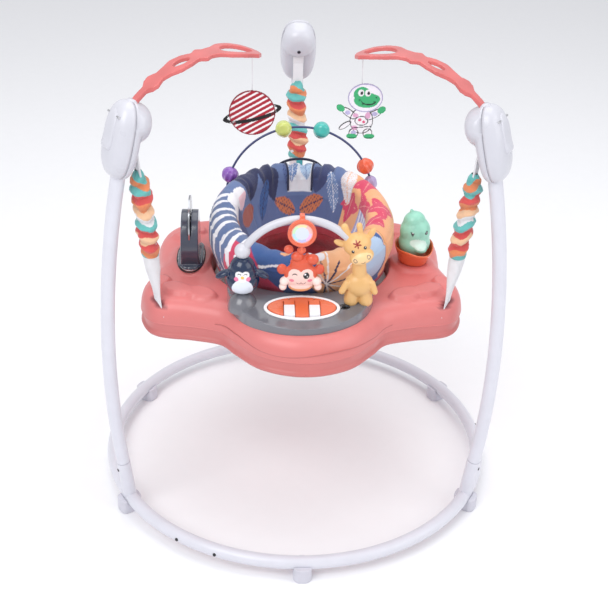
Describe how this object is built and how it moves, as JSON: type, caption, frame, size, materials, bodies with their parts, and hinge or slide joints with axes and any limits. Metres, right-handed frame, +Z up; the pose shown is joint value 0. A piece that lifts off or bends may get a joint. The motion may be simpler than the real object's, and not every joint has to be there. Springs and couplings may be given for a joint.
{
  "type": "activity jumper",
  "caption": "Baby activity jumper: round tube base, three bowed posts, a spring-hung toy tray and a turning padded seat.",
  "frame": {"origin": "on the floor under the centre of the base ring", "axes": "+Z up, +X to the right seen from the front, +Y to the rear post"},
  "size_m": [0.7973, 0.8313, 0.8965],
  "materials": {
    "tube": "satin powder coat",
    "housing": "moulded, satin gloss",
    "steel": "plain zinc plated",
    "black": "moulded",
    "rubber_grey": "moulded",
    "coral": "moulded, fine satin",
    "coral_deep": "moulded, fine satin",
    "console": "gloss",
    "white": "gloss",
    "orange": "gloss",
    "navy": "gloss",
    "slate": "gloss",
    "yellow": "soft moulded",
    "mint": "soft moulded",
    "mirror_disc": "polished",
    "wire": "coated",
    "purple": "gloss",
    "lime": "gloss",
    "teal": "gloss",
    "lilac": "gloss",
    "planet": "printed soft sheet",
    "dino": "printed soft sheet",
    "strap_fabric": "gathered printed cotton",
    "webbing": "woven webbing",
    "seat_fabric": "printed polyester",
    "seat_lining": "woven polyester",
    "board": "lacquered"
  },
  "bodies": {
    "frame": {"base_tube_left": "tube", "base_tube_right": "tube", "base_tube_rear": "tube", "tube_sleeves": "steel", "snap_buttons": "black", "feet": "rubber_grey", "post_left": "tube", "post_right": "tube", "post_rear": "tube", "outer_shell_left": "housing", "outer_shell_right": "housing", "outer_shell_rear": "housing", "inner_shells": "housing", "housing_screws": "steel", "strap_anchors": "steel", "hanger_straps": "webbing", "toy_arm_left": "coral", "toy_arm_right": "coral", "springs": "steel", "strap_covers": "strap_fabric"},
    "tray": {"strap_webs": "webbing", "strap_bars": "steel", "tray_top": "coral", "tray_bottom": "coral_deep", "tray_screws": "steel", "console_panel": "console", "key_bezel": "white", "sound_module": "board", "battery_cover": "console", "toy_arch": "housing", "giraffe": "yellow", "spinner_pod": "slate", "head_cup": "orange", "bead_wire": "wire"},
    "seat": {"seat_ring": "white", "seat_glides": "white", "seat_pad": "seat_fabric", "seat_sling": "seat_lining"},
    "latch_left": {"latch_left": "housing"},
    "latch_right": {"latch_right": "housing"},
    "latch_rear": {"latch_rear": "housing"},
    "planet_toy": {"planet_toy": "planet"},
    "dino_toy": {"dino_toy": "dino"},
    "power_switch": {"power_switch": "black"},
    "penguin": {"penguin": "navy"},
    "spinner_disc": {"spinner_disc": "mirror_disc"},
    "mint_head": {"mint_head": "mint"},
    "pendant": {"mirror_pendant": "orange", "monkey": "orange"},
    "orange_key_left": {"orange_key_left": "orange"},
    "orange_key_middle": {"orange_key_middle": "orange"},
    "orange_key_right": {"orange_key_right": "orange"},
    "white_key_left": {"white_key_left": "white"},
    "white_key_right": {"white_key_right": "white"},
    "bead_purple": {"bead_purple": "purple"},
    "bead_lime": {"bead_lime": "lime"},
    "bead_teal": {"bead_teal": "teal"},
    "bead_orange": {"bead_orange": "orange"},
    "bead_lilac": {"bead_lilac": "lilac"}
  },
  "joints": [
    {"name": "bounce", "type": "slide", "parent": "frame", "child": "tray", "axis": [0, 0, 1], "range_m": [-0.07, 0.05], "stiffness_N_per_m": 900, "springref_m": 0.06551, "deforming": ["springs", "strap_covers"]},
    {"name": "seat_spin", "type": "hinge", "parent": "tray", "child": "seat", "pos_m": [0, 0, 0.42], "axis": [0, 0, 1], "continuous": true},
    {"name": "latch_left_lift", "type": "hinge", "parent": "frame", "child": "latch_left", "pos_m": [-0.3195, -0.18446, 0.81521], "axis": [0.5, -0.866, 0], "range_deg": [-18, 0], "stiffness_Nm_per_rad": 0.4},
    {"name": "latch_right_lift", "type": "hinge", "parent": "frame", "child": "latch_right", "pos_m": [0.3195, -0.18446, 0.81521], "axis": [0.5, 0.866, 0], "range_deg": [-18, 0], "stiffness_Nm_per_rad": 0.4},
    {"name": "latch_rear_lift", "type": "hinge", "parent": "frame", "child": "latch_rear", "pos_m": [0, 0.36893, 0.81521], "axis": [-1, 0, 0], "range_deg": [-18, 0], "stiffness_Nm_per_rad": 0.4},
    {"name": "planet_swing", "type": "hinge", "parent": "frame", "child": "planet_toy", "pos_m": [-0.09526, -0.055, 0.87854], "axis": [0, 1, 0], "range_deg": [-30, 30]},
    {"name": "dino_swing", "type": "hinge", "parent": "frame", "child": "dino_toy", "pos_m": [0.09526, -0.055, 0.87854], "axis": [0, 1, 0], "range_deg": [-30, 30]},
    {"name": "bead_purple_slide", "type": "hinge", "parent": "tray", "child": "bead_purple", "pos_m": [0, 0.13, 0.535], "axis": [0, 1, 0], "range_deg": [-6, 26]},
    {"name": "bead_lime_slide", "type": "hinge", "parent": "tray", "child": "bead_lime", "pos_m": [0, 0.13, 0.535], "axis": [0, 1, 0], "range_deg": [-17, 7]},
    {"name": "bead_teal_slide", "type": "hinge", "parent": "tray", "child": "bead_teal", "pos_m": [0, 0.13, 0.535], "axis": [0, 1, 0], "range_deg": [-7, 17]},
    {"name": "bead_orange_slide", "type": "hinge", "parent": "tray", "child": "bead_orange", "pos_m": [0, 0.13, 0.535], "axis": [0, 1, 0], "range_deg": [-14, 0]},
    {"name": "bead_lilac_slide", "type": "hinge", "parent": "tray", "child": "bead_lilac", "pos_m": [0, 0.13, 0.535], "axis": [0, 1, 0], "range_deg": [0, 8]},
    {"name": "orange_key_left_press", "type": "slide", "parent": "tray", "child": "orange_key_left", "axis": [0, 0, -1], "range_m": [0, 0.0025], "stiffness_N_per_m": 300, "springref_m": -0.002},
    {"name": "orange_key_middle_press", "type": "slide", "parent": "tray", "child": "orange_key_middle", "axis": [0, 0, -1], "range_m": [0, 0.0025], "stiffness_N_per_m": 300, "springref_m": -0.002},
    {"name": "orange_key_right_press", "type": "slide", "parent": "tray", "child": "orange_key_right", "axis": [0, 0, -1], "range_m": [0, 0.0025], "stiffness_N_per_m": 300, "springref_m": -0.002},
    {"name": "white_key_left_press", "type": "slide", "parent": "tray", "child": "white_key_left", "axis": [0, 0, -1], "range_m": [0, 0.0025], "stiffness_N_per_m": 300, "springref_m": -0.002},
    {"name": "white_key_right_press", "type": "slide", "parent": "tray", "child": "white_key_right", "axis": [0, 0, -1], "range_m": [0, 0.0025], "stiffness_N_per_m": 300, "springref_m": -0.002},
    {"name": "switch_slide", "type": "slide", "parent": "tray", "child": "power_switch", "axis": [1, 0, 0], "range_m": [0, 0.005]},
    {"name": "penguin_spin", "type": "hinge", "parent": "tray", "child": "penguin", "pos_m": [-0.111, -0.2, 0.489], "axis": [0, 0, 1], "continuous": true},
    {"name": "pendant_swing", "type": "hinge", "parent": "tray", "child": "pendant", "pos_m": [-0.009, -0.2, 0.637], "axis": [1, 0, 0], "range_deg": [-25, 2]},
    {"name": "disc_spin", "type": "hinge", "parent": "tray", "child": "spinner_disc", "pos_m": [-0.213, 0, 0.538], "axis": [1, 0, 0], "continuous": true},
    {"name": "head_spin", "type": "hinge", "parent": "tray", "child": "mint_head", "pos_m": [0.219, -0.008, 0.48], "axis": [0, 0, 1], "continuous": true}
  ]
}
